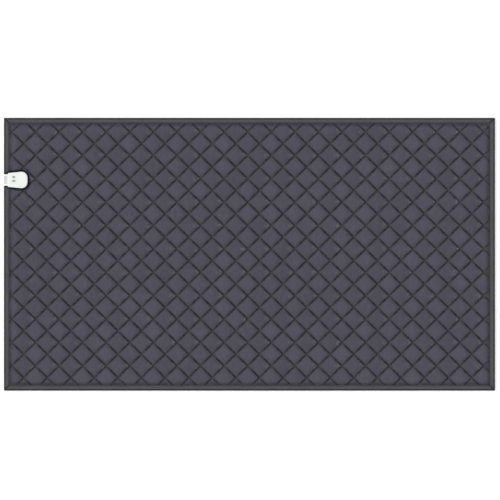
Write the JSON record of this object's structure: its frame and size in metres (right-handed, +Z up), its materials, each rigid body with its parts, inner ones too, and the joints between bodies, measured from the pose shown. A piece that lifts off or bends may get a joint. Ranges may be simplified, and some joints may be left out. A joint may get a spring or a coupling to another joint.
{
  "type": "infrared sauna blanket",
  "caption": "Flat rectangular far-infrared heating blanket, diamond quilted and bound all round, with a white plug-in inlet module and press keys at one end near a corner.",
  "frame": {"origin": "on the floor under the middle of the flat blanket", "axes": "+X along the blanket's length, away from the inlet; +Y across its width, towards the long side that the inlet is nearer; +Z up, the quilted face"},
  "size_m": [1.8, 1, 0.0216],
  "materials": {
    "cover_fabric": "matte",
    "backing_fabric": "matte",
    "binding_fabric": "matte",
    "wadding": "matte",
    "reflective_film": "gloss",
    "heater_felt": "matte",
    "wire_insulation": "satin",
    "lead_insulation": "satin",
    "heat_shrink": "satin",
    "white_plastic": "satin",
    "grey_plastic": "satin",
    "black_plastic": "matte",
    "terminal_plastic": "satin",
    "board_laminate": "satin",
    "gasket_rubber": "matte",
    "pin_brass": "polished",
    "capacitor_can": "satin",
    "screw_steel": "satin"
  },
  "bodies": {
    "inlet_half": {"cable_clamp": "black_plastic", "capacitor": "capacitor_can", "circuit_board": "board_laminate", "clamp_screws": "screw_steel", "contact_carrier": "grey_plastic", "contact_pins": "pin_brass", "gasket_frame": "gasket_rubber", "heat_switch_body": "black_plastic", "inlet_end_back_binding": "binding_fabric", "inlet_end_front_binding": "binding_fabric", "inlet_half_back_binding": "binding_fabric", "inlet_half_base_wadding": "wadding", "inlet_half_bottom_cover": "backing_fabric", "inlet_half_front_binding": "binding_fabric", "inlet_half_heater_felt": "heater_felt", "inlet_half_heating_wire": "wire_insulation", "inlet_half_reflective_film": "reflective_film", "inlet_half_return_lead": "lead_insulation", "inlet_half_thermal_cutout": "black_plastic", "inlet_half_top_cover": "cover_fabric", "inlet_half_top_wadding": "wadding", "lower_shell": "white_plastic", "microcontroller": "black_plastic", "power_switch_body": "black_plastic", "relay": "black_plastic", "sensor_lead": "lead_insulation", "shell_screws": "screw_steel", "socket_sleeve": "white_plastic", "temperature_sensor": "black_plastic", "terminal_block": "terminal_plastic", "upper_shell": "white_plastic"},
    "far_half": {"far_end_binding": "binding_fabric", "far_half_back_binding": "binding_fabric", "far_half_base_wadding": "wadding", "far_half_bottom_cover": "backing_fabric", "far_half_crimp_sleeve": "heat_shrink", "far_half_front_binding": "binding_fabric", "far_half_heater_felt": "heater_felt", "far_half_heating_wire": "wire_insulation", "far_half_reflective_film": "reflective_film", "far_half_return_lead": "lead_insulation", "far_half_thermal_cutout": "black_plastic", "far_half_top_cover": "cover_fabric", "far_half_top_wadding": "wadding"},
    "power_button": {"power_key": "grey_plastic", "power_switch_plunger": "terminal_plastic"},
    "heat_button": {"heat_key": "grey_plastic", "heat_switch_plunger": "terminal_plastic"}
  },
  "joints": [
    {"name": "fold", "type": "hinge", "parent": "inlet_half", "child": "far_half", "pos_m": [0, 0, 0.0175], "axis": [0, -1, 0], "range_deg": [0, 179.5]},
    {"name": "power_press", "type": "slide", "parent": "inlet_half", "child": "power_button", "axis": [0, 0, -1], "range_m": [0, 0.0006], "stiffness_N_per_m": 1500},
    {"name": "heat_press", "type": "slide", "parent": "inlet_half", "child": "heat_button", "axis": [0, 0, -1], "range_m": [0, 0.0006], "stiffness_N_per_m": 1500}
  ]
}
